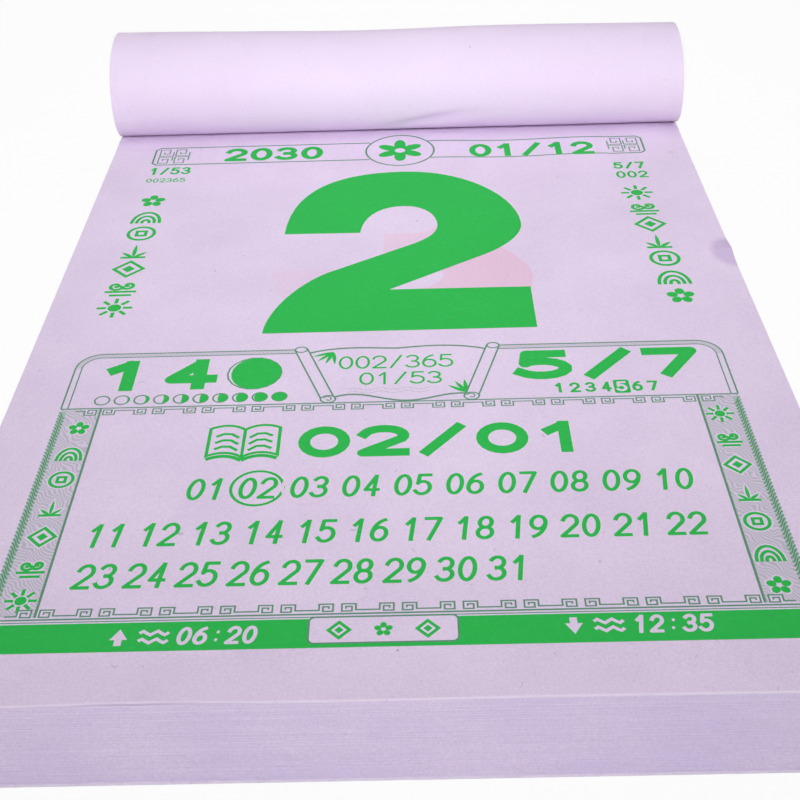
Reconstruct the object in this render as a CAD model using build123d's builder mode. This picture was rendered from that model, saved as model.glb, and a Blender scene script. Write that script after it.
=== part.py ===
"""Tear-off day calendar: a thick block of thin leaves, one for each day of the year, stitched
through a board strip at its head and a card at its back. The first day's leaf is turned back over
the head in a loose loop and tucked under the block, so that the second day's leaf shows.

Millimetres. +Y runs up the page to the head and +Z out of the page. The origin is on the table, under
the middle of the whole footprint. The turned leaf's tail lies on the table, and the block lies on it.
"""
import os
from math import cos, pi, radians, sin

from build123d import *

# The sheet and the stack
sheet_width = 185.0
sheet_length = 260.0
leaf_thickness = 0.06
stub_length = 14.0  # from the tear line to the head, held under the strip
card_thickness = 0.8
strip_thickness = 1.0
strip_edge_radius = 0.3

# Leaves in the lower part of the year, from the back card up
month_days = {
    "december": 31,
    "november": 30,
    "october": 31,
    "september": 30,
    "august": 31,
    "july": 31,
    "june": 30,
    "may": 31,
    "april": 30,
    "march": 31,
    "february": 28,
}
january_rest_days = 28  # January's leaves below the turned leaf, the day leaf and the next leaf

# The turned leaf's loop, from the tear line on
rise_radius = 10.5  # flat on the page to upright
shoulder_radius = 15.5
shoulder_turn = 45.0
crown_radius = 23.0  # the shoulder to the loop's top
tuck_radius = 15.0  # behind the head, down to the table
tuck_gap = 2.0  # from the head to where the tail lies flat
bend_clearance = 3.5  # from the loop's front to the line where lifted leaves bend

# The staples, of flat wire
staple_count = 3
staple_pitch = 60.0
staple_width = 14.0
staple_setback = 7.0  # from the head
wire_width = 1.2
wire_thickness = 0.5
wire_corner_radius = 0.4
clinch_length = 5.0
stitch_clearance = 0.1

# Places across the page, from the front edge to the head
loop_overhang = tuck_gap + tuck_radius + leaf_thickness / 2  # beyond the head
front_y = -(sheet_length + loop_overhang) / 2
head_y = front_y + sheet_length
tear_y = head_y - stub_length
bend_y = tear_y - rise_radius - bend_clearance
staple_y = head_y - staple_setback

# Heights of the layers above the table, from the turned leaf's tail up
card_z = leaf_thickness
december_z = card_z + card_thickness
january_z = december_z + leaf_thickness * sum(month_days.values())
next_leaf_z = january_z + leaf_thickness * january_rest_days
day_leaf_z = next_leaf_z + leaf_thickness
turned_leaf_z = day_leaf_z + leaf_thickness
strip_z = turned_leaf_z + leaf_thickness
staple_top_z = strip_z + strip_thickness + wire_thickness
staple_height = staple_top_z - card_z

# Staple legs, and the slit that each one makes in every layer
leg_offset = (staple_width - wire_thickness) / 2
staple_x = [staple_pitch * (index - (staple_count - 1) / 2) for index in range(staple_count)]
leg_centres = [(x + side * leg_offset, staple_y) for x in staple_x for side in (-1, 1)]
slit_length = wire_thickness + 2 * stitch_clearance
slit_width = wire_width + 2 * stitch_clearance

# The turned leaf's middle surface: its top, its back and what is left for the tail
crown_turn = 90.0 - shoulder_turn
loop_top_y = (
    tear_y
    - rise_radius
    + shoulder_radius * (1 - cos(radians(shoulder_turn)))
    + crown_radius * sin(radians(crown_turn))
)
loop_top_z = (
    turned_leaf_z
    + leaf_thickness / 2
    + rise_radius
    + shoulder_radius * sin(radians(shoulder_turn))
    + crown_radius * (1 - cos(radians(crown_turn)))
)
back_radius = head_y + tuck_gap + tuck_radius - loop_top_y
tail_z = leaf_thickness / 2
back_drop = loop_top_z - back_radius - tuck_radius - tail_z
loop_arcs = (
    rise_radius * 90
    + shoulder_radius * shoulder_turn
    + crown_radius * crown_turn
    + back_radius * 90
    + tuck_radius * 90
) * pi / 180
tail_length = sheet_length - stub_length - loop_arcs - back_drop

# Each step of the turned leaf is a straight length, or a radius and a turn in degrees
turned_leaf_steps = [
    (stub_length, 0, 0),
    (0, rise_radius, 90),
    (0, shoulder_radius, shoulder_turn),
    (0, crown_radius, crown_turn),
    (0, back_radius, 90),
    (back_drop, 0, 0),
    (0, tuck_radius, 90),
    (tail_length, 0, 0),
]


def bound_layer(layer_front_y, z):
    """Outline of a layer from layer_front_y to the head, with a slit for each staple leg."""
    with BuildSketch(Plane.XY.offset(z)) as outline:
        with Locations((0, (layer_front_y + head_y) / 2)):
            Rectangle(sheet_width, head_y - layer_front_y)
        with Locations(*leg_centres):
            Rectangle(slit_length, slit_width, mode=Mode.SUBTRACT)
    return outline.sketch


def free_layer(z):
    """Outline of the part of a layer that lifts, from the front edge to the bend line."""
    with BuildSketch(Plane.XY.offset(z)) as outline:
        with Locations((0, (front_y + bend_y) / 2)):
            Rectangle(sheet_width, bend_y - front_y)
    return outline.sketch


def draw_leaf_face(outward):
    """Draw one face of the turned leaf from the head to the tail's end, and return its two ends."""
    start = Vector(head_y, turned_leaf_z + leaf_thickness / 2 - outward)
    end = start
    heading = Vector(-1, 0)
    for length, radius, turn in turned_leaf_steps:
        if turn:
            step = JernArc(end, heading, radius + outward, -turn)
        else:
            step = Line(end, end + heading * length)
        end = step @ 1
        heading = step % 1
    return start, end


os.makedirs("parts", exist_ok=True)

# Back card, with grooves on its underside where the clinched wire is pressed in flush
with BuildPart() as back_card:
    extrude(bound_layer(front_y, card_z), amount=card_thickness)
    with BuildSketch(Plane.XY.offset(card_z)) as clinch_grooves:
        with Locations(*[(x, staple_y) for x in staple_x]):
            Rectangle(staple_width + 2 * stitch_clearance, slit_width)
            Rectangle(staple_width - 2 * (clinch_length + stitch_clearance), slit_width, mode=Mode.SUBTRACT)
    extrude(amount=wire_thickness, mode=Mode.SUBTRACT)
back_card.part.label = "back_card"
export_step(back_card.part, "parts/back_card.step")

# The year's leaves below January, a bundle for each month
bundle_z = december_z
for month, days in month_days.items():
    with BuildPart() as month_leaves:
        extrude(bound_layer(front_y, bundle_z), amount=days * leaf_thickness)
    month_leaves.part.label = f"{month}_leaves"
    export_step(month_leaves.part, f"parts/{month}_leaves.step")
    bundle_z += days * leaf_thickness

# The layers that lift: each has a stub held under the strip, and a free part beyond the bend line
lifting_layers = {
    "january_leaves": ("january_stubs", january_z, january_rest_days * leaf_thickness),
    "next_leaf": ("next_leaf_stub", next_leaf_z, leaf_thickness),
    "day_leaf": ("day_leaf_stub", day_leaf_z, leaf_thickness),
}
for free_name, (stub_name, layer_z, thickness) in lifting_layers.items():
    with BuildPart() as free_part:
        extrude(free_layer(layer_z), amount=thickness)
    free_part.part.label = free_name
    export_step(free_part.part, f"parts/{free_name}.step")
    with BuildPart() as stub:
        extrude(bound_layer(bend_y, layer_z), amount=thickness)
    stub.part.label = stub_name
    export_step(stub.part, f"parts/{stub_name}.step")

# The first day's leaf: its stub, the loop over the head and the tail under the block, in one sheet
with BuildPart() as turned_leaf:
    with BuildSketch(Plane.YZ) as leaf_profile:
        with BuildLine() as leaf_outline:
            outer_start, outer_end = draw_leaf_face(leaf_thickness / 2)
            inner_start, inner_end = draw_leaf_face(-leaf_thickness / 2)
            Line(outer_start, inner_start)
            Line(outer_end, inner_end)
        make_face()
    extrude(amount=sheet_width / 2, both=True)
    with BuildSketch(Plane.XY.offset(turned_leaf_z)) as stub_slits:
        with Locations(*leg_centres):
            Rectangle(slit_length, slit_width)
    extrude(amount=leaf_thickness, mode=Mode.SUBTRACT)
turned_leaf.part.label = "turned_leaf"
export_step(turned_leaf.part, "parts/turned_leaf.step")

# Board strip over the stubs: its front edge is the tear line
with BuildPart() as head_strip:
    extrude(bound_layer(tear_y, strip_z), amount=strip_thickness)
    top_edges = head_strip.faces().sort_by(Axis.Z)[-1].outer_wire().edges()
    fillet(top_edges, strip_edge_radius)
head_strip.part.label = "head_strip"
export_step(head_strip.part, "parts/head_strip.step")

# Staples: a crown on the strip, two legs through the whole stack and clinched ends under the card
with BuildPart() as staples:
    with BuildSketch(Plane.XZ.offset(-staple_y)) as wire_profile:
        with Locations(*[(x, card_z + staple_height / 2) for x in staple_x]):
            RectangleRounded(staple_width, staple_height, wire_corner_radius)
            Rectangle(
                staple_width - 2 * wire_thickness,
                staple_height - 2 * wire_thickness,
                mode=Mode.SUBTRACT,
            )
        with Locations(*[(x, card_z + wire_thickness / 2) for x in staple_x]):
            Rectangle(staple_width - 2 * clinch_length, wire_thickness, mode=Mode.SUBTRACT)
    extrude(amount=wire_width / 2, both=True)
staples.part.label = "staples"
export_step(staples.part, "parts/staples.step")
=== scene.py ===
"""Looks of a tear-off day calendar that lies on a table: the printed leaves, the block's layered edges,
the first leaf turned back over the head in a loop, and the strip and staples that hold the block.

Lengths are in millimetres until a mesh is made. A place on a page is x from its middle and y up from
its front edge.
"""

import bisect
import random
from math import copysign, cos, exp, pi, radians, sin

import bpy
import numpy as np
from mathutils import Matrix, Vector, noise
from mathutils.geometry import delaunay_2d_cdt


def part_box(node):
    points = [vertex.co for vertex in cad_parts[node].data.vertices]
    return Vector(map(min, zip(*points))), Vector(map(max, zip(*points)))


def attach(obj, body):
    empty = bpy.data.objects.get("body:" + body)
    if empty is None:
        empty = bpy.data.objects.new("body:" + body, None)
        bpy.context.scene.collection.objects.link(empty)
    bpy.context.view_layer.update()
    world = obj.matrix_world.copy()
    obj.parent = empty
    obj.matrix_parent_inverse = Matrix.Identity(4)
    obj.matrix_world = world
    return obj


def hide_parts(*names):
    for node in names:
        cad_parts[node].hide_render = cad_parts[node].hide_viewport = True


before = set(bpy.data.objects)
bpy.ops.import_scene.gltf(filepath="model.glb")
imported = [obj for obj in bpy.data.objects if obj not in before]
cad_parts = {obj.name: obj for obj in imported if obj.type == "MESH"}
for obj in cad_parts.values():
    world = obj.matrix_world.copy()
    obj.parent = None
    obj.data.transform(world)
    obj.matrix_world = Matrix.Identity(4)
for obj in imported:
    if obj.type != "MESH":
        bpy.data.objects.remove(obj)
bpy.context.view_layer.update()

MM = 0.001


# Sizes that come from the frame

def node_box(node):
    """A CAD node's lowest and highest corner in millimetres."""
    low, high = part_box(node)
    return low / MM, high / MM


page_low, page_high = node_box("day_leaf")
strip_low, strip_high = node_box("head_strip")
loop_low, loop_high = node_box("turned_leaf")
half_width = page_high.x
front_y = page_low.y
leaf = page_high.z - page_low.z
air = 0.004  # under a leaf that lies on another
bend_relief = 0.09  # on the underside of each part of a leaf, at its bend line
bend_at = page_high.y - front_y
tear_at = strip_low.y - front_y
head_at = strip_high.y - front_y

# The turned leaf's loop
rise_radius = 10.5
shoulder_radius = 15.5
crown_radius = 23.0
shoulder_turn = radians(45)
tuck_radius = 15.0
free_from = 19.0  # along the sheet, where it begins to ripple
free_to = 118.0
crease_at = 24.0
crease_x = 11.0

# Print layout, on the page
ribbon_y = 226.8
ribbon_height = 12.4
ribbon_half = 79.0
ribbon_end = 12.0
medallion_x = 0.7
medallion_radius = 11.0
number_left = -34.8
number_right = 35.5
number_base = 120.2
number_top = 211.3
mark_at = 156.0
mark_reach = 7.3
mark_rise = 9.8
frame_half = 79.7
panel_top = 112.4
panel_base = 89.6
column_inner = 70.1
column_base = 22.0
band_base = 12.8
band_top = 20.2
fine_line = 0.42
header_line = 0.6
sharp_corner = radians(70)
fret_pitch = 11.7

# Meshes of the pages
grid_pitch = 3.0
cut_tolerance = 0.002

# Uneven cut edges of a pile of leaves
layers_in_month = 9
edge_jog = (-0.04, 0.035)
edge_wave = 0.08
edge_sway = 0.12
edge_slope = 0.24


# Points of outlines

def arc(x, y, across, up, start, end, steps=12):
    """Points on an ellipse, from one angle to another in degrees."""
    turns = [radians(start + (end - start) * i / steps) for i in range(steps + 1)]
    return [(x + across * cos(turn), y + up * sin(turn)) for turn in turns]


def oval(x, y, across, up, steps=20):
    """Points all the way round an ellipse."""
    return arc(x, y, across, up, 0, 360, steps)[:-1]


def curve(start, pull_start, pull_end, end, steps=9):
    """Points on a cubic curve, after its start."""
    points = []
    for i in range(1, steps + 1):
        t = i / steps
        weights = ((1 - t) ** 3, 3 * t * (1 - t) ** 2, 3 * t * t * (1 - t), t ** 3)
        corners = (start, pull_start, pull_end, end)
        points.append(tuple(sum(w * c[axis] for w, c in zip(weights, corners)) for axis in (0, 1)))
    return points


def path(start, *steps):
    """Points of an outline. A step is a corner, or a curve's two pulls, its end and perhaps its count."""
    points = [start]
    for step in steps:
        points += curve(points[-1], *step) if len(step) > 2 else [step]
    return points


def box(left, base, right, top):
    """Corners of an upright rectangle."""
    return [(left, base), (right, base), (right, top), (left, top)]


def placed(points, x=0.0, y=0.0, side=1, way=1):
    """Points moved to x, y, and flipped across or up where the side or the way is -1."""
    return [(x + side * px, y + way * py) for px, py in points]


def rounded_box(left, base, right, top, radius):
    """Outline of a rectangle with round corners."""
    corners = box(left + radius, base + radius, right - radius, top - radius)
    points = []
    for i, (x, y) in enumerate(corners[2:] + corners[:2]):
        points += arc(x, y, radius, radius, 90 * i, 90 * i + 90, 5)
    return points


def blade(x, y, length, width, angle):
    """Outline of a slim pointed leaf that grows from x, y."""
    turn = Matrix.Rotation(radians(angle), 2)
    upper = curve((0, 0), (length * 0.3, width), (length * 0.7, width * 0.6), (length, 0), 5)
    lower = curve((length, 0), (length * 0.7, -width * 0.6), (length * 0.3, -width), (0, 0), 5)
    return [tuple(Vector((x, y)) + turn @ Vector(point)) for point in upper + lower]


# Inked shapes on a page

class Print:
    """Inked shapes in the order in which they are laid down: a later one covers an earlier one."""

    def __init__(self):
        self.shapes = []

    def fill(self, outline, ink="ink"):
        self.shapes.append(([tuple(point) for point in outline], ink))

    def line(self, points, width=fine_line, ink="fine", closed=False):
        """A line as quads that meet in mitres."""
        points = [Vector(point) for point in points]
        count = len(points)
        ways = [(points[(i + 1) % count] - points[i]).normalized() for i in range(count)]
        sides = []
        for i, point in enumerate(points):
            before = ways[i - 1] if i or closed else ways[i]
            after = ways[i] if i + 1 < count or closed else before
            along = (before + after).normalized()
            across = Vector((-along.y, along.x))
            reach = width / 2 / max(0.5, along.dot(before))
            sides.append((point + across * reach, point - across * reach))
        for i in range(count if closed else count - 1):
            left, right = sides[i]
            next_left, next_right = sides[(i + 1) % count]
            self.fill([left, right, next_right, next_left], ink)

    def ringed(self, outline, width=fine_line):
        """Bare paper with a line round it."""
        self.fill(outline, "paper")
        self.line(outline, width, closed=True)

    def stroke(self, points, width, ink):
        """A pen stroke: square at its ends, and round at each corner sharper than a mitre suits."""
        points = [Vector(point) for point in points]
        points[0] -= (points[1] - points[0]).normalized() * width / 2
        points[-1] += (points[-1] - points[-2]).normalized() * width / 2
        run = [points[0]]
        for i in range(1, len(points)):
            run.append(points[i])
            last = i + 1 == len(points)
            if last or (points[i] - points[i - 1]).angle(points[i + 1] - points[i]) > sharp_corner:
                self.line(run, width, ink)
                run = [points[i]]
                if not last:
                    self.fill(oval(points[i].x, points[i].y, width / 2, width / 2, 14), ink)


# Glyphs: strokes in a unit square, as a kind of stroke and its points

def turned_about(strokes):
    """The same strokes, turned half a turn."""
    return [(kind, [(1 - x, 1 - y) for x, y in points]) for kind, points in strokes]


SIX = [("ring", oval(0.5, 0.31, 0.5, 0.31)), ("line", arc(1.0, 0.31, 1.0, 0.69, 180, 104, 9))]
GLYPHS = {
    "0": [("ring", oval(0.5, 0.5, 0.5, 0.5))],
    "1": [("line", [(0.2, 0.76), (0.5, 0.96)]), ("line", [(0.58, 1.0), (0.58, 0.0)])],
    "2": [("line", arc(0.5, 0.7, 0.5, 0.3, 165, -28) + [(0.0, 0.0), (1.0, 0.0)])],
    "3": [("line", arc(0.47, 0.75, 0.46, 0.25, 150, -90)), ("line", arc(0.47, 0.26, 0.53, 0.26, 90, -155))],
    "4": [("line", [(0.74, 0.0), (0.74, 1.0)]), ("line", [(0.68, 0.94), (0.1, 0.28), (1.0, 0.28)])],
    "5": [("line", [(0.9, 1.0), (0.14, 1.0), (0.08, 0.55)] + arc(0.44, 0.33, 0.56, 0.33, 122, -150))],
    "6": SIX,
    "7": [("line", [(0.0, 1.0), (1.0, 1.0), (0.36, 0.0)])],
    "8": [("ring", oval(0.5, 0.75, 0.42, 0.25)), ("ring", oval(0.5, 0.26, 0.5, 0.26))],
    "9": turned_about(SIX),
    "/": [("line", [(0.1, 0.0), (0.9, 1.0)])],
    ":": [("fill", oval(0.5, 0.2, 0.16, 0.1, 8)), ("fill", oval(0.5, 0.72, 0.16, 0.1, 8))],
}


def petals(count, reach, across, up):
    """Filled petals round the middle of the unit square."""
    shapes = []
    for i in range(count):
        turn = Matrix.Rotation(2 * pi * i / count, 2)
        outline = [turn @ Vector(point) for point in oval(0.0, reach, across, up, 12)]
        shapes.append(("fill", [(0.5 + p.x, 0.5 + p.y) for p in outline]))
    return shapes


def spiral(x, y, radius, start, turns, steps=22):
    """Points on a spiral that opens from its middle."""
    points = []
    for i in range(3, steps + 1):
        angle = radians(start) + 2 * pi * turns * i / steps
        points.append((x + radius * i / steps * cos(angle), y + radius * i / steps * sin(angle)))
    return points


def rays(count, inner, outer):
    """Short lines round the middle of the unit square."""
    ends = [oval(0.5, 0.5, reach, reach, count) for reach in (inner, outer)]
    return [("line", list(pair)) for pair in zip(*ends)]


ORNAMENTS = {
    "blossom": petals(5, 0.3, 0.17, 0.2) + [("hole", oval(0.5, 0.5, 0.11, 0.11, 10))],
    "coin": [("ring", oval(0.5, 0.5, 0.5, 0.5, 24)), ("ring", box(0.33, 0.33, 0.67, 0.67))],
    "sun": [("fill", oval(0.5, 0.5, 0.24, 0.24, 16))] + rays(8, 0.36, 0.56),
    "lozenge": [
        ("ring", [(0.5, -0.04), (1.04, 0.5), (0.5, 1.04), (-0.04, 0.5)]),
        ("fill", [(0.5, 0.26), (0.74, 0.5), (0.5, 0.74), (0.26, 0.5)]),
    ],
    "waves": [("line", arc(0.5, 0.04, r, r * 1.5, 0, 180, 10)) for r in (0.54, 0.34, 0.14)],
    "leaves": [
        ("fill", blade(0.5, 0.0, 0.62, 0.13, 140)),
        ("fill", blade(0.5, 0.0, 0.98, 0.13, 90)),
        ("fill", blade(0.5, 0.0, 0.62, 0.13, 40)),
        ("line", [(0.1, 0.0), (0.9, 0.0)]),
    ],
    "cloud": [
        ("line", spiral(0.28, 0.62, 0.28, 200, 1.4)),
        ("line", spiral(0.72, 0.66, 0.26, -20, -1.4)),
        ("line", [(0.0, 0.24), (1.0, 0.24)]),
        ("line", [(0.2, 0.0), (0.86, 0.0)]),
    ],
}
COLUMN_MOTIFS = ["blossom", "waves", "coin", "leaves", "lozenge", "cloud", "sun"]


def draw_glyph(sheet, strokes, x, y, width, height, weight, ink="ink", slant=0.0, halo=0.0):
    """Draws strokes into a box whose lower left corner is x, y, on a halo of bare paper if it has one."""
    outlines = []
    left, base = x + weight / 2, y + weight / 2
    wide, high = width - weight, height - weight
    for kind, points in strokes:
        outline = [(left + a * wide + slant * b * height, base + b * high) for a, b in points]
        outlines.append((kind, outline))
    for kind, outline in outlines if halo else []:
        own = 0.0 if kind == "fill" else weight
        sheet.line(outline, own + 2 * halo, "paper", closed=kind != "line")
    for kind, outline in outlines:
        if kind == "fill":
            sheet.fill(outline, ink)
        elif kind == "hole":
            sheet.fill(outline, "paper")
        elif kind == "ring":
            sheet.line(outline, weight, ink, closed=True)
        else:
            sheet.stroke(outline, weight, ink)


def draw_number(sheet, text, x, y, height, pitch, weight, ink="ink", slant=0.0):
    """Draws a row of digits from x on."""
    for i, digit in enumerate(text):
        draw_glyph(sheet, GLYPHS[digit], x + i * pitch, y, pitch * 0.88, height, weight, ink, slant)


def draw_motif(sheet, name, x, y, size, weight, halo=0.0):
    """Draws an ornament with its middle at x, y."""
    draw_glyph(sheet, ORNAMENTS[name], x - size / 2, y - size / 2, size, size, weight, halo=halo)


# The large day numbers: the outlines of 1 to 4, and what is left open in the 4

NUMBERS = {
    1: path(
        (-9.0, number_base), (13.5, number_base), (13.5, number_top), (-5.0, number_top),
        ((-9.0, 203.0), (-17.0, 196.5), (-28.0, 194.0)), (-28.0, 177.5),
        ((-21.0, 178.5), (-14.5, 181.0), (-9.0, 185.0)),
    ),
    2: path(
        (-32.8, 172.5), ((-32.3, 201.0), (-18.5, number_top), (1.7, number_top), 14),
        ((21.0, number_top), (35.8, 193.0), (35.8, 175.6), 14), ((35.8, 169.5), (31.0, 162.6), (24.3, 158.1)),
        (-2.2, 140.4), (number_right, 140.2), (number_right, number_base), (number_left, number_base),
        ((-34.5, 131.0), (-27.5, 144.0), (-19.3, 150.0), 12), (3.3, 164.4),
        ((8.0, 167.3), (11.5, 171.0), (11.5, 175.8), 7), ((11.5, 183.0), (7.4, 188.1), (1.6, 188.1)),
        ((-5.2, 188.1), (-10.2, 182.5), (-10.9, 172.2)),
    ),
    3: path(
        (-29.5, 184.0), ((-28.5, 201.0), (-15.0, 209.5), (1.0, 209.5), 12),
        ((16.0, 209.5), (31.0, 199.0), (31.0, 187.0), 12), ((31.0, 178.5), (28.5, 173.0), (22.5, 169.5)),
        ((28.0, 163.5), (36.6, 154.5), (36.6, 146.3)), ((36.6, 129.5), (22.0, 120.6), (0.5, 120.6), 12),
        ((-19.0, 120.6), (-33.5, 131.5), (-34.6, 151.5), 12), (-11.5, 151.5),
        ((-10.5, 143.5), (-5.5, 139.8), (0.8, 139.8)), ((8.0, 139.8), (12.3, 143.0), (12.3, 148.0)),
        ((12.3, 153.5), (8.0, 157.5), (1.0, 157.5)), (-4.0, 157.5), (-4.0, 171.4), (4.5, 171.4),
        ((9.5, 171.4), (12.5, 175.0), (12.5, 179.5)), ((12.5, 185.5), (8.0, 189.5), (1.2, 189.5)),
        ((-5.0, 189.5), (-10.5, 188.0), (-11.5, 184.0)),
    ),
    4: path(
        (1.0, number_top), (24.0, number_top), (24.0, 157.0), (number_right, 157.0), (number_right, 139.0),
        (24.0, 139.0), (24.0, number_base), (3.0, number_base), (3.0, 139.0), (number_left, 139.0),
        (number_left, 157.0),
    ),
}
FOUR_GAP = [(3.0, 157.0), (3.0, 185.0), (-15.0, 157.0)]


# Parts of the page's print

class Date:
    """A day's figures: its month, and its place in the year, the week and the moon's round."""

    def __init__(self, day, month):
        self.day = day
        self.month = month
        self.month_length = 31 if month == 1 else 28
        self.day_of_year = day + 31 * (month - 1)
        self.weekday = (self.day_of_year + 2) % 7 + 1
        self.week = (self.day_of_year + 2) // 7 + 1
        self.moon_age = (self.day_of_year + 11) % 30 + 1


def draw_square_spiral(sheet, x, y, width, height, way_x, way_y):
    """A square spiral whose outer corner is at x, y and which winds inwards."""
    steps = [(1, 0.45), (1, 1), (0, 1), (0, 0.08), (0.7, 0.08), (0.7, 0.7), (0.3, 0.7), (0.3, 0.45)]
    sheet.line([(x + way_x * a * width, y + way_y * b * height) for a, b in steps])


def draw_header(sheet, date):
    top = ribbon_y + ribbon_height / 2
    base = ribbon_y - ribbon_height / 2
    inner = ribbon_half - ribbon_end
    for side in (-1, 1):
        for edge in (base, top):
            swing = 0.55 * (1 + side) / 2
            run = [medallion_radius - 2 + (inner - medallion_radius + 2) * i / 24 for i in range(25)]
            sheet.line([(side * x, edge + swing * sin(x / 7.5)) for x in run], header_line)
            way = -1 if edge > ribbon_y else 1
            bracket = [(inner, edge), (ribbon_half - 1.4, edge), (ribbon_half, edge + 1.4 * way)]
            bracket.append((ribbon_half, ribbon_y))
            sheet.line(placed(bracket, side=side), header_line)
            for column in (0, 1):
                outer = side * (ribbon_half - 1.6 - column * 5.2)
                draw_square_spiral(sheet, outer, edge + way * 0.9, 4.4, 4.9, -side, way)
    sheet.ringed(oval(medallion_x, ribbon_y, medallion_radius, medallion_radius, 36), header_line)
    draw_glyph(sheet, petals(6, 0.27, 0.12, 0.22), medallion_x - 8, ribbon_y - 8, 16, 16, 0.0)
    sheet.fill(oval(medallion_x, ribbon_y, 1.7, 1.7, 12), "paper")
    draw_number(sheet, "2030", -56.0, 222.0, 9.5, 8.2, 2.0)
    draw_number(sheet, f"{date.month:02d}/12", 23.0, 220.6, 9.5, 8.2, 2.0)
    draw_number(sheet, f"{date.week}/53", -79.0, 213.6, 5.0, 3.4, 0.9)
    draw_number(sheet, f"{date.day_of_year:03d}365", -79.0, 208.2, 2.8, 2.1, 0.45)
    draw_number(sheet, f"{date.weekday}/7", 67.5, 209.4, 4.6, 3.4, 0.9)
    draw_number(sheet, f"{date.day_of_year:03d}", 67.5, 203.0, 4.6, 3.4, 0.8)


def draw_upper_columns(sheet):
    for i, name in enumerate(COLUMN_MOTIFS):
        draw_motif(sheet, name, -74.6 - 0.1 * i, 195.6 - 10.2 * i, 8.6, 1.0)
    for i, name in enumerate(reversed(COLUMN_MOTIFS)):
        draw_motif(sheet, name, 72.0 + 0.4 * i, 193.0 - 9.9 * i, 8.6, 1.0)


def draw_moon(sheet, x, y, radius, lit):
    """A moon's disc: its outline, and the lit part filled from the right."""
    sheet.line(oval(x, y, radius, radius, 18), closed=True)
    reach = radius * (1 - 2 * lit)
    outline = arc(x, y, radius, radius, -90, 90, 10) + arc(x, y, reach, radius, 90, -90, 10)[1:-1]
    if lit > 0.05:
        sheet.fill(outline)


def draw_date_panel(sheet, date):
    corner = 6.0
    inset = 1.6
    scroll_edge = 23.0
    for side in (-1, 1):
        outer, inner = (
            [(frame_half - step, panel_base)]
            + arc(frame_half - corner, panel_top - corner, corner - step, corner - step, 0, 90, 8)
            + [(scroll_edge, panel_top - step)]
            for step in (0.0, inset)
        )
        rim = outer[1:] + inner[:0:-1]
        sheet.fill(placed(rim, side=side), "screen")
        sheet.line(placed(outer, side=side))
        sheet.line(placed(inner, side=side), fine_line * 0.8)
    draw_number(sheet, f"{date.moon_age:02d}", -73.5, 96.4, 12.8, 15.7, 3.4)
    draw_moon(sheet, -35.0, 102.6, 6.6, 1 - abs(15 - date.moon_age) / 15)
    draw_number(sheet, f"{date.weekday}/7", 28.6, 97.2, 12.4, 15.6, 3.2)
    for i in range(10):
        draw_moon(sheet, -70.5 + 4.7 * i, 92.7, 1.75, i / 9)
    for i in range(7):
        x = 37.0 + 3.7 * i
        chosen = i + 1 == date.weekday
        if chosen:
            sheet.fill(rounded_box(x - 0.6, 90.9, x + 3.2, 96.3, 0.6))
        draw_number(sheet, str(i + 1), x, 91.6, 4.0, 2.9, 0.75, "paper" if chosen else "ink")


def draw_scroll(sheet, date):
    left_half = ((-14.0, 113.8), (-8.0, 112.4), (0.0, 112.1))
    top_edge = path((-22.6, 110.6), left_half, ((8.0, 113.2), (15.0, 113.6), (22.2, 110.8)))
    left_half = ((-10.0, 95.2), (-5.0, 90.6), (1.0, 90.0))
    base_edge = path((-16.0, 91.4), left_half, ((7.0, 89.4), (11.0, 93.4), (17.0, 92.2)))
    sheet.fill(top_edge + base_edge[::-1], "paper")
    sheet.line(top_edge, fine_line * 1.4)
    sheet.line(base_edge, fine_line * 1.4)
    for angle in (200, 225, 250, 275):
        sheet.fill(blade(-16.0, 111.0, 5.5, 0.8, angle))
    for angle in (70, 95, 120, 145):
        sheet.fill(blade(16.4, 92.6, 5.5, 0.9, angle))
    for offset in (0.0, 1.3):
        ripple = [(-12.0 + 1.4 * i, 93.6 + offset + 0.45 * sin(1.4 * i)) for i in range(15)]
        sheet.line(ripple, fine_line * 0.7, "screen")
    draw_number(sheet, f"{date.day_of_year:03d}/365", -14.6, 103.4, 5.6, 4.1, 0.6)
    draw_number(sheet, f"{date.week:02d}/53", -9.4, 96.6, 5.2, 4.1, 0.6)
    for head, foot in (((-24.2, 112.4), (-16.6, 91.2)), ((23.7, 112.4), (17.4, 91.2))):
        sheet.line([head, foot], 3.1, "paper")
        corners = sheet.shapes[-1][0]
        sheet.line([corners[0], corners[3]])
        sheet.line([corners[1], corners[2]])
        for end, radius in ((head, 1.5), (foot, 1.8)):
            sheet.ringed(oval(*end, radius, radius * 0.8, 14))
        sheet.line(spiral(*foot, 1.2, 90, 1.2, 12), fine_line * 0.8)


def draw_fret(sheet, half, base, way):
    """A band of facing square spirals on a base line. The way is 1 up or -1 down from the line."""
    gap = 0.85
    width = 2.7
    join = 1.0
    sheet.line([(-half, base), (half, base)])
    count = int(2 * half / fret_pitch)
    middles = [fret_pitch * (i - (count - 1) / 2) for i in range(count)]
    steps = [(fret_pitch / 2, join), (gap + width, join), (gap + width, 2.6), (gap, 2.6), (gap, 0.7)]
    steps += [(gap + width - 0.75, 0.7), (gap + width - 0.75, 1.9), (gap + 0.8, 1.9), (gap + 0.8, 1.35)]
    for middle in middles:
        for side in (-1, 1):
            ground = box(gap, 0.3, gap + width, 2.6)
            sheet.fill(placed(ground, middle, base, side, way), "paper")
            sheet.line(placed(steps, middle, base, side, way), fine_line * 0.85)


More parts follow.
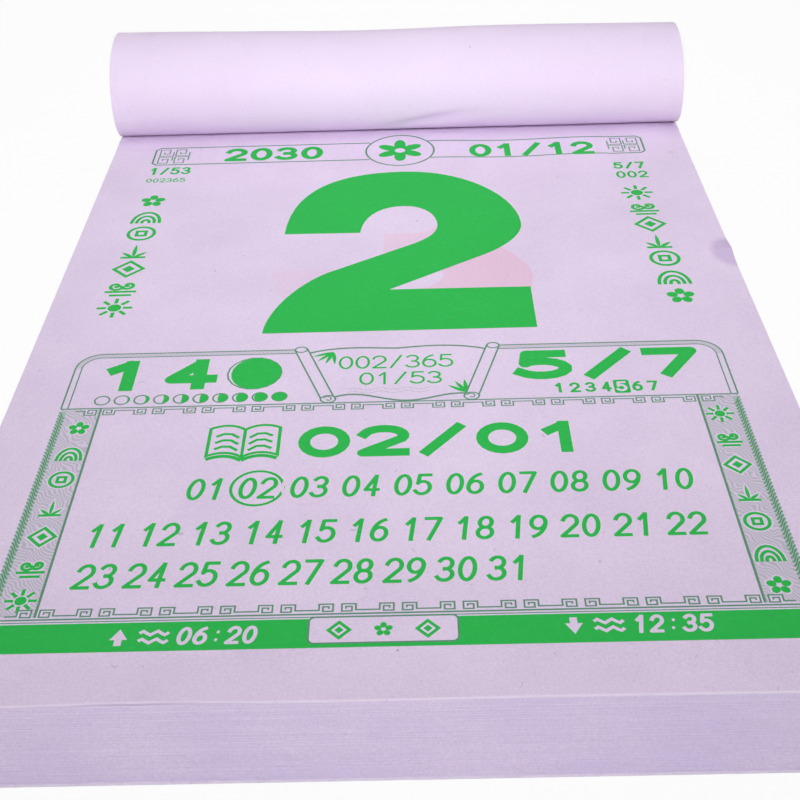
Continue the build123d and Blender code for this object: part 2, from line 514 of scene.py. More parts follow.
def draw_side_columns(sheet):
    rope_width = 1.9
    rope_pitch = 1.15
    outer = frame_half + 0.2
    inner = outer - rope_width
    height = panel_base - column_base - 3.0
    row_pitch = height / len(COLUMN_MOTIFS)
    for side in (-1, 1):
        ground = box(column_inner, column_base, outer - 0.3, panel_base)
        sheet.fill(placed(ground, side=side), "waves")
        rope = box(inner + 0.15, column_base, outer - 0.15, panel_base - 1.0)
        sheet.fill(placed(rope, side=side), "rope")
        for i in range(int(height / rope_pitch)):
            y = column_base + 1.8 + rope_pitch * i
            bend = ((inner + 1.1, y - 1.1), (outer - 1.1, y + 1.1), (outer, y + 1.3), 5)
            strand = path((inner, y - 1.3), bend)
            sheet.line(placed(strand, side=side), fine_line * 0.75)
        motifs = COLUMN_MOTIFS if side < 0 else COLUMN_MOTIFS[::-1]
        for i, name in enumerate(motifs):
            y = panel_base - 3.0 - row_pitch * (i + 0.5)
            draw_motif(sheet, name, side * 73.9, y, 5.8, 0.75, 0.35)
        rule = [(column_inner, column_base), (column_inner, panel_base)]
        sheet.line(placed(rule, side=side), fine_line * 1.3)


def draw_book(sheet, x, y):
    """An open book."""
    for side in (-1, 1):
        edge = path((0.0, 0.0), ((2.5, 2.2), (5.5, 2.0), (8.0, 0.6)))
        page = edge + [(px, py + 10.0) for px, py in edge[::-1]]
        sheet.fill(placed(page, x, y, side), "paper")
        cover = [(px, py - 1.2) for px, py in edge]
        sheet.line(placed(cover, x, y, side), 1.1, "ink")
        sheet.line(placed(page, x, y, side), 0.8, "ink", closed=True)
        for row in range(3):
            rule = [(px * 0.66 + 1.2, py + 2.4 + 2.3 * row) for px, py in edge[::3]]
            sheet.line(placed(rule, x, y, side), 0.8, "ink")


def draw_month_rows(sheet, date):
    """The month's days in three rows, with a ring round the day."""
    rows = [(10, -46.0, 11.2, 55.6), (12, -65.0, 10.9, 41.4), (9, -65.0, 10.3, 29.4)]
    number = 1
    for count, left, pitch, base in rows:
        for i in range(count):
            x = left + pitch * i
            if number in (date.day, date.day + 1):
                ink = "ink" if number == date.day else "ghost"
                sheet.line(oval(x + 4.3, base + 3.6, 5.7, 5.7, 28), 0.7, ink, closed=True)
            if number <= date.month_length:
                draw_number(sheet, f"{number:02d}", x, base, 7.2, 4.4, 0.95, slant=0.1)
            number += 1


def draw_band(sheet):
    sheet.fill(box(-frame_half - 0.8, band_base, frame_half + 0.8, band_top))
    rule_y = band_top + 0.45
    sheet.line([(-frame_half - 0.8, rule_y), (frame_half + 0.8, rule_y)], fine_line * 0.6)
    sheet.ringed(rounded_box(-17.0, 13.9, 11.4, 20.6, 1.2))
    for i, name in enumerate(("lozenge", "blossom", "lozenge")):
        draw_motif(sheet, name, -2.8 + 8.4 * (i - 1), 17.2, 4.4, 0.7)
    for x, base, clock, way in ((-56.5, 14.2, "06:20", 1), (29.4, 14.9, "12:35", -1)):
        arrow = [(0.0, -0.6), (1.0, -0.6), (1.0, -2.1), (2.4, -2.1), (2.4, -0.6), (3.4, -0.6), (1.7, 2.1)]
        sheet.fill(placed(arrow, x + 2, base + 2.2, way=way), "paper")
        for i in range(2):
            level = base + 1.2 + 2 * i
            ripple = [(x + 7.5 + 0.7 * step, level + 0.5 * sin(step * 1.6)) for step in range(9)]
            sheet.line(ripple, 0.7, "paper")
        draw_number(sheet, clock, x + 14.5, base, 4.6, 3.1, 0.78, "paper", slant=0.12)


def calendar_page(day, month):
    """The print of one day's leaf, with the next day's number showing faintly through the paper."""
    date = Date(day, month)
    sheet = Print()
    if date.day_of_year == 2:
        sheet.fill(arc(half_width, mark_at, mark_reach, mark_rise, 90, 270, 18), "mark")
    for number, ink in ((day % 4 + 1, "ghost"), (day, "ink")):
        sheet.fill(NUMBERS[number], ink)
        if number == 4:
            sheet.fill(FOUR_GAP, "paper")
    draw_header(sheet, date)
    draw_upper_columns(sheet)
    draw_side_columns(sheet)
    draw_fret(sheet, frame_half, panel_base, -1)
    draw_fret(sheet, frame_half, column_base - 0.6, 1)
    draw_date_panel(sheet, date)
    draw_scroll(sheet, date)
    draw_book(sheet, -35.0, 70.0)
    draw_number(sheet, f"{day:02d}/{month:02d}", -22.6, 69.2, 11.4, 13.4, 2.7)
    draw_month_rows(sheet, date)
    draw_band(sheet)
    return sheet


# Materials

def srgb(red, green, blue):
    """A screen colour as the linear colour that the nodes take."""
    values = []
    for part in (red, green, blue):
        part /= 255
        values.append(part / 12.92 if part <= 0.04045 else ((part + 0.055) / 1.055) ** 2.4)
    return (*values, 1.0)


class Nodes:
    """Nodes that are added one by one to the tree of a material or of the world."""

    def __init__(self, tree):
        self.tree = tree

    def add(self, kind, inputs=None, **settings):
        node = self.tree.nodes.new(f"ShaderNode{kind}")
        for name, value in settings.items():
            setattr(node, name, value)
        for name, value in (inputs or {}).items():
            self.set(node.inputs[name], value)
        return node

    def set(self, socket, value):
        if isinstance(value, bpy.types.NodeSocket):
            self.tree.links.new(value, socket)
        else:
            socket.default_value = value

    def math(self, operation, first, second=0.0):
        return self.add("Math", {0: first, 1: second}, operation=operation).outputs[0]

    def ramp(self, value, low, high, to_low=0.0, to_high=1.0):
        inputs = {"Value": value, "From Min": low, "From Max": high, "To Min": to_low, "To Max": to_high}
        return self.add("MapRange", inputs).outputs["Result"]

    def seen(self):
        """1 for a ray from the camera, straight or in a reflection, and 0 for one that gathers light."""
        paths = self.add("LightPath").outputs
        seen = self.math("MAXIMUM", paths["Is Camera Ray"], paths["Is Glossy Ray"])
        return self.math("MAXIMUM", seen, paths["Is Transmission Ray"])


class Finish(Nodes):
    """A material."""

    def __init__(self, name):
        self.material = bpy.data.materials.new(name)
        self.material.use_nodes = True
        super().__init__(self.material.node_tree)
        self.shader = self.tree.nodes["Principled BSDF"]
        self.place = self.add("TexCoord").outputs["Object"]

    def axis(self, name):
        return self.add("SeparateXYZ", {"Vector": self.place}).outputs[name]

    def noise(self, scale, detail=3.0, roughness=0.5, place=None):
        inputs = {"Vector": place or self.place, "Scale": scale, "Detail": detail, "Roughness": roughness}
        return self.add("TexNoise", inputs).outputs["Fac"]

    def stretched(self, x, y, z):
        """The place, stretched along each axis."""
        return self.add("Mapping", {"Vector": self.place, "Scale": (x, y, z)}).outputs["Vector"]

    def length(self, vector):
        return self.add("VectorMath", {0: vector}, operation="LENGTH").outputs["Value"]

    def wave(self, scale, distortion, detail_scale=1.0):
        """Slanting waves."""
        inputs = {"Vector": self.place, "Scale": scale, "Distortion": distortion, "Detail": 1.0}
        inputs["Detail Scale"] = detail_scale
        return self.add("TexWave", inputs, bands_direction="DIAGONAL").outputs["Fac"]

    def mix(self, factor, first, second):
        return self.add("Mix", {0: factor, 6: first, 7: second}, data_type="RGBA").outputs[2]

    def surface(self, colour, roughness, specular=0.5):
        self.set(self.shader.inputs["Base Color"], colour)
        self.set(self.shader.inputs["Roughness"], roughness)
        self.shader.inputs["Specular IOR Level"].default_value = specular

    def bump(self, height, strength, distance):
        node = self.add("Bump", {"Height": height, "Strength": strength, "Distance": distance})
        self.set(self.shader.inputs["Normal"], node.outputs["Normal"])


class PaperFinish(Finish):
    """A material made of fibres, with the cloudy formation of the sheet."""

    def __init__(self, name):
        super().__init__(name)
        self.cloud = self.noise(38.0, 4.0, 0.6)
        self.fibre = self.noise(2100.0, 4.0, 0.75)

    def bare(self, pale, deep):
        """The bare sheet's colour."""
        cloud = self.math("MULTIPLY", self.cloud, 0.3)
        blend = self.math("ADD", cloud, self.math("MULTIPLY", self.fibre, 0.7))
        return self.mix(self.ramp(blend, 0.3, 0.7), deep, pale)

    def specks(self):
        """Where dark bits of pulp and a few fine hairs lie in the sheet."""
        cells = self.add("TexVoronoi", {"Vector": self.place, "Scale": 170.0})
        chance = self.add("SeparateColor", {"Color": cells.outputs["Color"]})
        size = self.ramp(chance.outputs["Green"], 0.0, 1.0, 0.018, 0.055)
        near = self.math("LESS_THAN", cells.outputs["Distance"], size)
        rare = self.math("GREATER_THAN", chance.outputs["Red"], 0.93)
        bits = self.math("MULTIPLY", near, rare)
        wander = self.math("ABSOLUTE", self.math("SUBTRACT", self.noise(160.0, 1.0), 0.5))
        thread = self.math("LESS_THAN", wander, 0.006)
        short = self.math("GREATER_THAN", self.noise(420.0, 1.0), 0.7)
        hairs = self.math("MULTIPLY", self.math("MULTIPLY", thread, short), 0.28)
        return self.math("MAXIMUM", self.math("MULTIPLY", bits, 0.75), hairs)

    def leaf(self, colour):
        """The finished material of a leaf: the colour with the specks, roughness and tooth of the sheet."""
        colour = self.mix(self.specks(), colour, srgb(104, 92, 108))
        self.surface(colour, self.ramp(self.fibre, 0.3, 0.7, 0.62, 0.82), 0.35)
        self.bump(self.math("ADD", self.math("MULTIPLY", self.cloud, 3.0), self.fibre), 0.22, 0.00006)
        return self.material


def make_paper(name, pale, deep):
    """Uncoated calendar paper. Its front edge and cut front rims carry a painted highlight: a paler colour
    within 0.6 mm of the front edge.
    """
    finish = PaperFinish(name)
    # painted highlight: the colour is mixed toward a pale lilac just behind the front edge
    edge = finish.ramp(finish.axis("Y"), (front_y + 0.6) * MM, (front_y + 0.25) * MM, 0.0, 0.85)
    return finish.leaf(finish.mix(edge, finish.bare(pale, deep), srgb(242, 230, 250)))


def make_show_through(name, tint):
    """The next leaf's print, seen through the paper: stronger to the right, where the leaves lie close."""
    finish = PaperFinish(name)
    share = finish.ramp(finish.axis("X"), -20 * MM, 20 * MM, 0.12, 0.38)
    return finish.leaf(finish.mix(share, finish.bare(paper_pale, paper_deep), tint))


def make_edge_mark(name, tint):
    """Paper with a darker half-round patch at its right edge, with a soft outline."""
    finish = PaperFinish(name)
    reach = (0.87 * mark_reach * MM, 0.87 * mark_rise * MM)
    middle = (-half_width * MM / reach[0], -(front_y + mark_at) * MM / reach[1], 0.0)
    scale = (1 / reach[0], 1 / reach[1], 0.0)
    inputs = {"Vector": finish.place, "Location": middle, "Scale": scale}
    away = finish.length(finish.add("Mapping", inputs).outputs["Vector"])
    # the distance from the patch's middle, made ragged by the cloud noise
    worn = finish.math("ADD", away, finish.math("MULTIPLY", finish.cloud, 0.16))
    share = finish.ramp(worn, 1.12, 0.82, 0.0, 0.75)
    return finish.leaf(finish.mix(share, finish.bare(paper_pale, paper_deep), tint))


def make_ink(name, full, worn):
    """Printing ink on the same paper: the tooth of the sheet thins it here and there."""
    finish = PaperFinish(name)
    cover = finish.ramp(finish.noise(900.0, 4.0, 0.75), 0.5, 0.78)
    colour = finish.mix(finish.math("MULTIPLY", cover, 0.45), full, worn)
    shade = tuple(part * 0.86 for part in full[:3]) + (1.0,)
    return finish.leaf(finish.mix(finish.ramp(finish.cloud, 0.3, 0.7, 0.35, 0.0), colour, shade))


def make_screen(name, ink, paper):
    """A fine screen of ink lines on paper, which reads as a pale tint."""
    finish = PaperFinish(name)
    tint = finish.ramp(finish.wave(620.0, 0.6), 0.35, 0.65, 0.14, 0.4)
    return finish.leaf(finish.mix(tint, paper, ink))


def make_waves(name, ink, paper):
    """Thin ink lines that run round one another like the contours of hills."""
    finish = PaperFinish(name)
    line = finish.ramp(finish.wave(560.0, 18.0, 0.45), 0.25, 0.75, 0.42, 0.12)
    return finish.leaf(finish.mix(line, paper, ink))


def make_leaf_edges(name, pale, deep):
    """The cut edges of many leaves: fine level lines that fade in and out, with the grain of the cut."""
    finish = PaperFinish(name)
    fine = finish.noise(1.0, 2.0, 0.6, finish.stretched(26.0, 26.0, 9000.0))
    broad = finish.noise(1.0, 2.0, 0.5, finish.stretched(14.0, 14.0, 1500.0))
    lines = finish.math("ADD", finish.math("MULTIPLY", fine, 0.2), finish.math("MULTIPLY", broad, 0.15))
    grain = finish.math("ADD", lines, finish.math("MULTIPLY", finish.fibre, 0.65))
    colour = finish.mix(finish.ramp(grain, 0.3, 0.7), deep, pale)
    colour = finish.mix(finish.ramp(finish.cloud, 0.35, 0.7, 0.0, 0.35), colour, srgb(200, 190, 230))
    finish.surface(colour, finish.ramp(finish.fibre, 0.3, 0.7, 0.7, 0.9), 0.25)
    finish.bump(grain, 0.25, 0.00012)
    return finish.material


def make_board(name, pale, deep):
    """Pressed board with flecks of many fibres."""
    finish = PaperFinish(name)
    fleck = finish.noise(1.0, 3.0, 0.7, finish.stretched(620.0, 740.0, 740.0))
    colour = finish.mix(finish.ramp(fleck, 0.25, 0.75), deep, pale)
    colour = finish.mix(finish.ramp(finish.fibre, 0.6, 0.75, 0.0, 0.4), colour, deep)
    finish.surface(colour, finish.ramp(finish.cloud, 0.3, 0.7, 0.7, 0.88))
    finish.bump(finish.math("ADD", fleck, finish.fibre), 0.3, 0.0001)
    return finish.material


def make_wire(name):
    """Galvanised flat wire, drawn along its length and dulled in patches."""
    finish = Finish(name)
    drawn = finish.noise(1.0, 3.0, 0.6, finish.stretched(300.0, 9000.0, 300.0))
    dull = finish.noise(700.0, 3.0, 0.6)
    colour = finish.mix(finish.ramp(dull, 0.4, 0.7), srgb(196, 198, 202), srgb(150, 152, 158))
    brushed = finish.ramp(drawn, 0.3, 0.7, 0.22, 0.38)
    finish.surface(colour, finish.math("ADD", brushed, finish.math("MULTIPLY", dull, 0.12)))
    finish.shader.inputs["Metallic"].default_value = 1.0
    finish.bump(drawn, 0.2, 0.00003)
    return finish.material


paper_pale = srgb(237, 221, 245)
paper_deep = srgb(211, 192, 221)
green_full = srgb(28, 180, 72)
green_worn = srgb(70, 192, 104)
red_full = srgb(214, 62, 86)
red_worn = srgb(226, 120, 140)
line_grey = srgb(104, 138, 120)
paper_mean = srgb(224, 207, 233)

paper = make_paper("calendar_paper", paper_pale, paper_deep)
blank_paper = make_paper("blank_calendar_paper", srgb(233, 217, 241), srgb(222, 204, 231))
leaf_edges = make_leaf_edges("leaf_edges", srgb(243, 229, 252), srgb(205, 189, 220))
board = make_board("backing_board", srgb(240, 230, 248), srgb(226, 214, 236))
strip_board = make_board("strip_board", srgb(214, 204, 190), srgb(186, 174, 158))
wire = make_wire("staple_wire")
green_inks = {
    "paper": paper,
    "ink": make_ink("green_ink", green_full, green_worn),
    "fine": make_ink("green_lines", srgb(88, 140, 110), srgb(124, 164, 142)),
    "screen": make_screen("green_screen", line_grey, paper_mean),
    "rope": make_ink("green_rope", srgb(160, 188, 176), srgb(186, 200, 196)),
    "waves": make_waves("green_waves", line_grey, paper_mean),
    "ghost": make_show_through("red_show_through", srgb(232, 168, 194)),
    "mark": make_edge_mark("edge_mark", srgb(196, 174, 212)),
}
red_inks = {
    "paper": paper,
    "ink": make_ink("red_ink", red_full, red_worn),
    "fine": make_ink("red_lines", srgb(190, 84, 104), srgb(204, 128, 146)),
    "screen": make_screen("red_screen", srgb(196, 128, 140), paper_mean),
    "rope": make_ink("red_rope", srgb(214, 168, 182), srgb(220, 184, 200)),
    "waves": make_waves("red_waves", srgb(196, 128, 140), paper_mean),
    "ghost": make_show_through("green_show_through", srgb(182, 204, 206)),
}


# Meshes

def add_object(name, data):
    """An object in the scene, from its mesh, lamp or lens."""
    thing = bpy.data.objects.new(name, data)
    bpy.context.scene.collection.objects.link(thing)
    return thing


def make_piece(name, points, faces, materials, indices, body, smooth=False):
    """A mesh piece from points in millimetres, which moves with a body."""
    mesh = bpy.data.meshes.new(name)
    mesh.from_pydata([Vector(point) * MM for point in points], [], faces)
    for material in materials:
        mesh.materials.append(material)
    mesh.polygons.foreach_set("material_index", indices)
    mesh.polygons.foreach_set("use_smooth", [smooth] * len(faces))
    mesh.update()
    if smooth:
        mesh.set_sharp_from_angle(angle=sharp_corner)
    piece = add_object(name, mesh)
    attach(piece, body)
    return piece


def grid_lines(low, high, pitch):
    """Evenly spaced values from low to high, about a pitch apart."""
    count = max(1, round((high - low) / pitch))
    return [low + (high - low) * i / count for i in range(count + 1)]


def cell(lines, value):
    """Which two of the lines a value lies between, and how far it is from the first to the second."""
    first = max(0, min(bisect.bisect_right(lines, value) - 1, len(lines) - 2))
    return first, (value - lines[first]) / (lines[first + 1] - lines[first])


def inside(outline, places):
    """Which of the places are inside an outline."""
    within = np.zeros(len(places), bool)
    x, y = places[:, 0], places[:, 1]
    for (ax, ay), (bx, by) in zip(outline, outline[1:] + outline[:1]):
        if ay != by:
            crosses = (ay > y) != (by > y)
            within ^= crosses & (x < ax + (y - ay) * (bx - ax) / (by - ay))
    return within


def ink_of_each(middles, shapes, slots):
    """The ink slot at each place: that of the last shape laid over it."""
    chosen = np.full(len(middles), slots.index("paper"))
    for outline, ink in shapes:
        corners = np.array(outline)
        low, high = corners.min(axis=0), corners.max(axis=0)
        near = np.flatnonzero(((middles >= low) & (middles <= high)).all(axis=1))
        if len(near):
            chosen[near[inside(outline, middles[near])]] = slots.index(ink)
    return chosen.tolist()


def cut_flat(points, edges):
    """Corners and triangles of a flat sheet that is cut along edges, and where each point went."""
    places, _, triangles, sources, _, _ = delaunay_2d_cdt(points, edges, [], 0, cut_tolerance, True)
    went = {source: corner for corner, owners in enumerate(sources) for source in owners}
    return places, [list(triangle) for triangle in triangles], went


page_columns = grid_lines(-half_width, half_width, grid_pitch)
page_rows = grid_lines(0.0, bend_at, grid_pitch) + grid_lines(bend_at, head_at, grid_pitch)[1:]


class CutPage:
    """A page cut along its print and along some rows: its corners, its triangles, their middles and inks."""

    def __init__(self, day, month, inks, rows=page_rows, cut_rows=()):
        shapes = calendar_page(day, month).shapes
        self.inks = inks
        self.rows = rows
        points = [Vector((x, y)) for y in rows for x in page_columns]
        edges = []
        for row in cut_rows:
            first = row * len(page_columns)
            edges += [(i, i + 1) for i in range(first, first + len(page_columns) - 1)]
        for outline, ink in shapes:
            first = len(points)
            edges += [(first + i, first + (i + 1) % len(outline)) for i in range(len(outline))]
            points += [Vector(point) for point in outline]
        self.places, self.triangles, _ = cut_flat(points, edges)
        corners = np.array([tuple(place) for place in self.places])
        self.middles = corners[np.array(self.triangles)].mean(axis=1)
        self.slots = ink_of_each(self.middles, shapes, list(inks))


def page_lift(x, y):
    """How far the day's leaf stands off the leaf below."""
    lift = 0.0
    for lip_x, lip_y, across, along, height in (
        (-46.0, -1.0, 16.0, 7.0, 0.55),
        (92.0, 157.0, 5.0, 4.0, 0.9),
        (30.0, 0.0, 24.0, 6.0, 0.16),
    ):
        lift += height * exp(-((x - lip_x) / across) ** 2 - ((y - lip_y) / along) ** 2)
    near_head = exp(-((y - 239.5) / 4.5) ** 2) * (1 - exp(-((y - bend_at) / 3.0) ** 2))
    lift += near_head * 0.55 * (0.5 + 0.5 * sin(x / 13.0 + 0.9)) * (0.6 + 0.4 * sin(x / 31.0))
    held = max(0.0, min(1.0, (tear_at - 1.0 - y) / 5.0))
    return lift * held


def on_grid(lift):
    """The same lift, made straight between the page's grid lines, so that a leaf's back follows its face."""
    levels = [[lift(x, y) for x in page_columns] for y in page_rows]

    def level(x, y):
        column, right = cell(page_columns, x)
        row, up = cell(page_rows, y)
        ends = [line[column] + right * (line[column + 1] - line[column]) for line in levels[row:row + 2]]
        return ends[0] + up * (ends[1] - ends[0])

    return level


def lying(low_z, lift=None, relief=0.0):
    """Where a point of a leaf that lies on the block is. The side is 0 for its back and 1 for its face.

    On the bend line, the back is set off from the other part of the leaf, which leaves room to bend.
    """
    def stand(x, y, side):
        if relief and abs(y - bend_at) < 0.01:
            y += copysign(air, relief) if side else relief
        return x, front_y + y, low_z + (leaf if side else air) + (lift(x, y) if lift else 0.0)

    return stand


def make_leaf(name, page, stand, wanted=None, body="block", smooth=False):
    """A printed leaf, or the part with the wanted triangles, with its blank back and its cut edges."""
    chosen = range(len(page.triangles)) if wanted is None else np.flatnonzero(wanted)
    used = sorted({corner for i in chosen for corner in page.triangles[i]})
    order = {corner: i for i, corner in enumerate(used)}
    flat = [page.places[corner] for corner in used]
    faces = [[order[corner] for corner in page.triangles[i]] for i in chosen]
    ways = {(a, b) for face in faces for a, b in zip(face, face[1:] + face[:1])}
    rim = [(a, b) for a, b in ways if (b, a) not in ways]
    rim_points = sorted({a for a, b in rim})
    rim_order = {point: i for i, point in enumerate(rim_points)}
    low_y, high_y = min(p.y for p in flat), max(p.y for p in flat)
    inner_rows = [y for y in page.rows if low_y + 0.1 < y < high_y - 0.1]
    back_input = [flat[point] for point in rim_points]
    back_input += [Vector((x, y)) for y in inner_rows for x in page_columns[1:-1]]
    back_edges = [(rim_order[a], rim_order[b]) for a, b in rim]
    back_flat, back_faces, went = cut_flat(back_input, back_edges)
    back = len(flat)
    points = [stand(p.x, p.y, 1) for p in flat] + [stand(p.x, p.y, 0) for p in back_flat]
    under = {point: back + went[i] for point, i in rim_order.items()}
    sides = [[b, a, under[a], under[b]] for a, b in rim]
    backs = [[back + corner for corner in reversed(face)] for face in back_faces]
    bare = list(page.inks).index("paper")
    indices = [page.slots[i] for i in chosen] + [bare] * (len(backs) + len(sides))
    materials = list(page.inks.values())
    return make_piece(name, points, faces + backs + sides, materials, indices, body, smooth)


def make_printed_leaf(node, stub_node, day, low_z, inks, lift=None):
    """A day's leaf in two pieces: the part that lifts, and the stub from its bend line to the head."""
    page = CutPage(day, 1, inks, cut_rows=[page_rows.index(bend_at)])
    lifts = page.middles[:, 1] < bend_at
    free_part = make_leaf(f"{node}_page", page, lying(low_z, lift, -bend_relief), lifts, node)
    held_part = make_leaf(f"{stub_node}_page", page, lying(low_z, lift, bend_relief), ~lifts)
    return free_part, held_part


def make_stack(name, low_z, high_z, base, top, layers, body, seed):
    """A pile of leaves as thin layers, whose cut edges are a little uneven and slope a little."""
    chooser = random.Random(seed)
    parts = [chooser.uniform(0.5, 1.5) for _ in range(layers)]
    levels = [low_z]
    for part in parts:
        levels.append(levels[-1] + (high_z - low_z) * part / sum(parts))
    points = []
    for layer in range(layers):
        foot = levels[layer]
        crest = levels[layer + 1]
        slope = edge_slope * (foot / page_high.z - 1)
        jogs = {side: chooser.uniform(*edge_jog) for side in ("front", "right", "head", "left")}

        def stand(side, along):
            wave = noise.noise(Vector((along / 38.0, foot * 1.7, seed + len(side))))
            slow = noise.noise(Vector((along / 90.0, foot / 7.0, 3.0 * len(side))))
            if side == "head":
                return jogs[side] * 0.4
            return jogs[side] + edge_wave * wave + edge_sway * slow + slope

        outline = [(x, base - stand("front", x)) for x in grid_lines(-half_width, half_width, 5.0)[:-1]]
        outline += [(half_width + stand("right", y), y) for y in grid_lines(base, top, 8.0)[:-1]]
        outline += [(x, top + stand("head", x)) for x in grid_lines(half_width, -half_width, -16.0)[:-1]]
        outline += [(-half_width - stand("left", y), y) for y in grid_lines(top, base, -8.0)[:-1]]
        for z in (foot, crest):
            points += [(x, front_y + y, z) for x, y in outline]
    count = len(outline)
    last = len(points) - count
    around = [(i, (i + 1) % count) for i in range(count)]
    faces = []
    indices = []
    for ring in range(2 * layers - 1):
        lower, upper = count * ring, count * (ring + 1)
        faces += [[lower + i, lower + j, upper + j, upper + i] for i, j in around]
        indices += [1 - ring % 2] * count
    faces += [[j, i, len(points)] for i, j in around]
    faces += [[last + i, last + j, len(points) + 1] for i, j in around]
    indices += [0] * (2 * count)
    points += [(0.0, front_y + (base + top) / 2, z) for z in (low_z, high_z)]
    return make_piece(name, points, faces, [paper, leaf_edges], indices, body)


def loop_path():
    """The turned leaf's middle line: places, headings and the way so far, from the head to the tail's end."""
    quarter = pi / 2
    top_y = strip_low.y - rise_radius + shoulder_radius * (1 - cos(shoulder_turn))
    top_y += crown_radius * sin(quarter - shoulder_turn)
    back_radius = loop_high.y - leaf / 2 - top_y
    drop = loop_high.z - leaf / 2 - back_radius - tuck_radius - (loop_low.z + leaf / 2)
    steps = [(head_at - tear_at, 0, 0), (0, rise_radius, quarter), (0, shoulder_radius, shoulder_turn)]
    steps += [(0, crown_radius, quarter - shoulder_turn), (0, back_radius, quarter), (drop, 0, 0)]
    steps.append((0, tuck_radius, quarter))
    steps.append((head_at - sum(length + radius * turn for length, radius, turn in steps), 0, 0))
    place = Vector((strip_high.y, page_high.z + leaf / 2))
    heading = pi
    travelled = 0.0
    line = [(place, heading, travelled)]
    for length, radius, turn in steps:
        distance = length or radius * turn
        pieces = round(10 * turn) if turn else max(2, round(length / 5.0))
        bend = turn / pieces
        chord = 2 * radius * sin(bend / 2) if turn else length / pieces
        for _ in range(pieces):
            middle = heading - bend / 2
            place = place + Vector((cos(middle), sin(middle))) * chord
            heading -= bend
            travelled += distance / pieces
            line.append((place, heading, travelled))
    return line


def loop_ripple(x, travelled):
    """How far the turned leaf stands off its smooth loop, how free it is there, and how far it is creased."""
    begun = max(0.0, min(1.0, (travelled - free_from) / 14.0))
    free = begun * max(0.0, min(1.0, (free_to - travelled) / 20.0))
    slow = noise.noise(Vector((x / 70.0, travelled / 60.0, 4.2)))
    quick = noise.noise(Vector((x / 26.0, travelled / 34.0, 9.1)))
    above = travelled - crease_at - 0.2 * (x + 1.0)
    crease = exp(-(above / (1.2 if above > 0 else 3.0)) ** 2 - ((x - crease_x) / 10.0) ** 2)
    crease *= min(1.0, free * 3)
    return free * (0.7 * slow + 0.22 * quick) - crease, free, crease


def loop_point(x, side, middle, heading, travelled):
    """Where a point of the turned leaf is, on its back or on its printed face inside the loop."""
    ripple, free, crease = loop_ripple(x, travelled)
    out = ripple + (0.5 - side) * leaf - 0.4 * side * crease
    cocked = free * max(0.0, -x / half_width) ** 1.5
    y = middle.x + 0.6 * cocked - out * sin(heading)
    return Vector((x, y, middle.y + 1.2 * cocked + out * cos(heading)))


def make_turned_leaf(inks):
    """The first day's leaf, its print inside: held at the head, looped back over it and tucked under."""
    line = loop_path()[::-1]
    rows = [max(0.0, head_at - travelled) for middle, heading, travelled in line]
    curved = [i for i in range(1, len(line) - 1) if line[i][1] != line[0][1]]
    corners = [[[loop_point(x, side, *step) for x in page_columns] for step in line] for side in (0, 1)]

    def stand(x, y, side):
        column, right = cell(page_columns, x)
        row, up = cell(rows, y)
        low, high = corners[side][row], corners[side][row + 1]
        return low[column].lerp(low[column + 1], right).lerp(high[column].lerp(high[column + 1], right), up)

    page = CutPage(1, 1, inks, rows, curved)
    piece = make_leaf("turned_leaf_sheet", page, stand, smooth=True)
    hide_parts("turned_leaf")


# The block: month bundles, January's leaves, the next day's leaf and the day's leaf

MONTHS = "december november october september august july june may april march february".split()

for index, month in enumerate(MONTHS):
    low, high = node_box(f"{month}_leaves")
    top_z = high.z - leaf if month == "february" else high.z
    stack = make_stack(f"{month}_stack", low.z, top_z, 0.0, head_at, layers_in_month, "block", index + 1)
    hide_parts(f"{month}_leaves")
make_leaf("february_leaves_page", CutPage(1, 2, green_inks), lying(top_z))

january_low, january_high = node_box("january_leaves")
january_top = january_high.z - leaf
for node, base, top, body, seed in (
    ("january_leaves", 0.0, bend_at, "january_leaves", 33),
    ("january_stubs", bend_at, head_at, "block", 32),
):
    stack = make_stack(f"{node}_stack", january_low.z, january_top, base, top, layers_in_month, body, seed)
    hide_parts(node)
make_printed_leaf("january_leaves", "january_stubs", 4, january_top, green_inks)

for day, node, inks, lift in (
    (3, "next_leaf", red_inks, None),
    (2, "day_leaf", green_inks, on_grid(page_lift)),
):
    low, high = node_box(node)
    page, stub = make_printed_leaf(node, f"{node}_stub", day, low.z, inks, lift)
    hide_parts(node)
    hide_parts(f"{node}_stub")

make_turned_leaf({**red_inks, "paper": blank_paper})

for node, material in (("back_card", board), ("head_strip", strip_board), ("staples", wire)):
    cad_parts[node].data.materials.clear()
    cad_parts[node].data.materials.append(material)


# Floor, light and camera

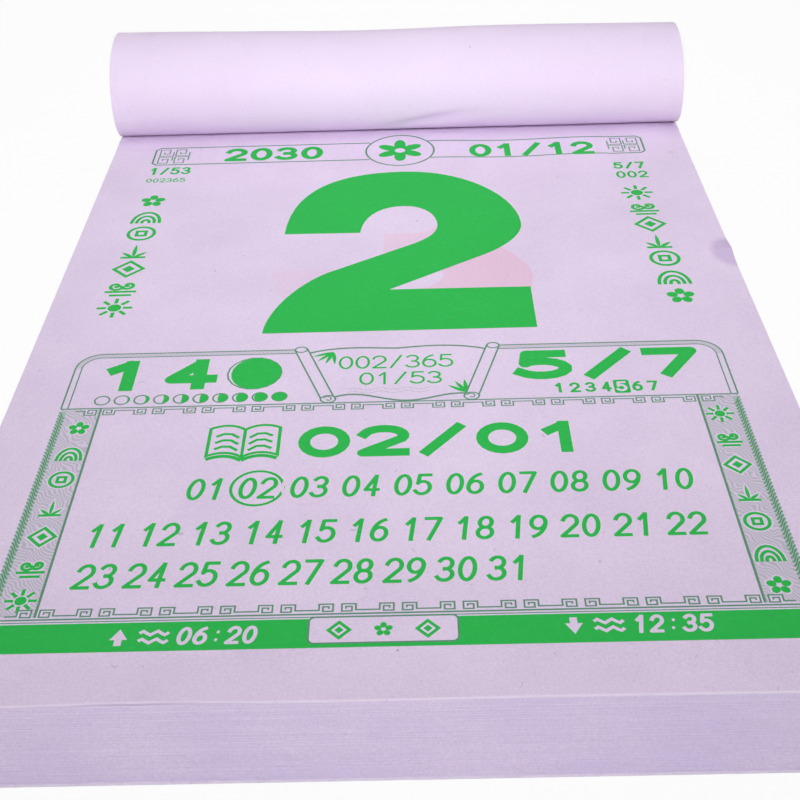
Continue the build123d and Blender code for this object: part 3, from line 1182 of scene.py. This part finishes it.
def make_floor():
    """A pale floor that is white to the eye and keeps the object's shadow."""
    finish = Finish("studio_floor")
    tone = finish.mix(finish.ramp(finish.noise(6.0), 0.3, 0.7), srgb(242, 242, 242), srgb(248, 248, 248))
    finish.surface(tone, 0.9)
    white = finish.add("Emission", {"Color": (1.0, 1.0, 1.0, 1.0), "Strength": 1.0})
    near = finish.ramp(finish.length(finish.place), 0.3, 1.2, 0.92, 1.0)
    share = finish.math("MULTIPLY", finish.seen(), near)
    both = finish.add("MixShader", {0: share, 1: finish.shader.outputs[0], 2: white.outputs[0]})
    finish.set(finish.tree.nodes["Material Output"].inputs["Surface"], both.outputs[0])
    reach = 2500.0
    mesh = bpy.data.meshes.new("floor")
    corners = box(-reach, -reach, reach, reach)
    mesh.from_pydata([Vector((x, y, -0.05)) * MM for x, y in corners], [], [(0, 1, 2, 3)])
    mesh.materials.append(finish.material)
    add_object("floor", mesh)


def make_world(strength):
    """Even pale light from all round, and a white background."""
    world = bpy.data.worlds.new("studio")
    world.use_nodes = True
    bpy.context.scene.world = world
    nodes = Nodes(world.node_tree)
    background = world.node_tree.nodes["Background"]
    background.inputs["Color"].default_value = (1.0, 1.0, 1.0, 1.0)
    nodes.set(background.inputs["Strength"], nodes.ramp(nodes.seen(), 0.0, 1.0, strength, 1.0))


def make_softbox(name, place, target, size, power, spread=180.0):
    """A square soft lamp, aimed at a point. A grid on it can narrow its spread."""
    light = bpy.data.lights.new(name, "AREA")
    light.size = size * MM
    light.energy = power
    light.spread = radians(spread)
    lamp = add_object(name, light)
    lamp.location = Vector(place) * MM
    lamp.rotation_euler = (Vector(target) - Vector(place)).to_track_quat("-Z", "Y").to_euler()


def make_camera():
    """A camera where the photograph was taken from: its place over the page, and its pitch, yaw and roll."""
    place = Vector((4.87, front_y - 147.4, page_high.z + 174.1))
    pitch = radians(36.234)
    yaw = radians(-1.064)
    roll = radians(1.974)
    aim = Matrix.Rotation(-yaw, 4, "Z") @ Matrix.Rotation(pi / 2 - pitch, 4, "X")
    data = bpy.data.cameras.new("camera")
    data.sensor_width = 36.0
    data.lens = 56.25
    data.clip_start = 0.01
    camera = add_object("camera", data)
    camera.matrix_world = Matrix.Translation(place * MM) @ aim @ Matrix.Rotation(-roll, 4, "Z")
    bpy.context.scene.camera = camera


make_floor()
make_world(0.44)
make_softbox("softbox_front", (0.0, -620.0, 560.0), (0.0, 100.0, 35.0), size=260.0, power=0.235, spread=34.0)
make_softbox("softbox_head", (0.0, 90.0, 520.0), (0.0, 60.0, 20.0), size=300.0, power=0.42)
make_camera()
bpy.context.scene.view_settings.view_transform = "Standard"
